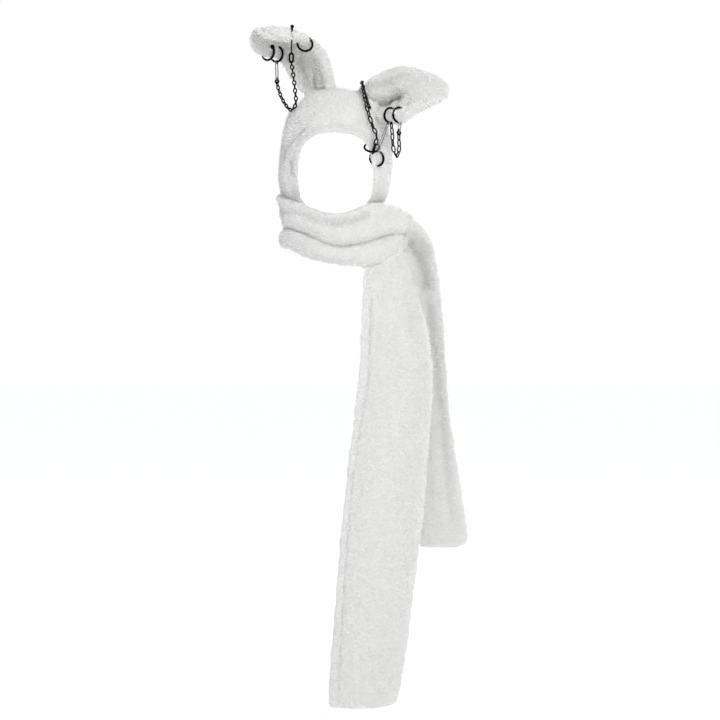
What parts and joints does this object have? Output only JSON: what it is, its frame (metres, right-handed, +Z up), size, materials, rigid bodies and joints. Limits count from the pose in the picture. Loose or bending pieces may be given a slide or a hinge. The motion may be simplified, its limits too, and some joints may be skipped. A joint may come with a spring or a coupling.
{
  "type": "animal hood scarf",
  "caption": "White plush hood with two floppy animal ears, a scarf wound round the neck with two hanging ends, and black hoops, safety pins and chains.",
  "frame": {"origin": "inside top of the hood's crown, where the hood rests on a head", "axes": "+Z up along the hanging ends, -Y out of the face opening, +X towards the ear that flops sideways"},
  "size_m": [0.363, 0.2202, 1.1035],
  "materials": {
    "plush": "white long-pile fleece, matt",
    "black_steel": "black plated steel, glossy",
    "silver_steel": "bright nickel plated steel wire"
  },
  "bodies": {
    "root": {"hood": "plush", "ear_left": "plush", "ear_right": "plush", "scarf_wrap_upper": "plush", "scarf_wrap_lower": "plush", "scarf_tail_front": "plush", "scarf_tail_back": "plush", "hoop_left_ear_top": "black_steel", "hoop_left_ear_middle": "black_steel", "hoop_left_ear_tip": "black_steel", "hoop_hem_upper": "black_steel", "hoop_hem_lower": "black_steel", "hoop_right_ear_inner": "black_steel", "hoop_right_ear_outer": "black_steel", "pin_left_ear": "black_steel", "clip_left_ear": "black_steel", "ring_left_ear": "black_steel", "chain_left_ear": "black_steel", "safety_pin_ear_root": "black_steel", "clip_hem": "black_steel", "chain_hood": "black_steel", "ring_right_ear": "black_steel", "chain_right_ear": "black_steel", "safety_pin_left_ear": "silver_steel", "safety_pin_hem": "silver_steel", "safety_pin_right_ear": "silver_steel"}
  },
  "joints": []
}
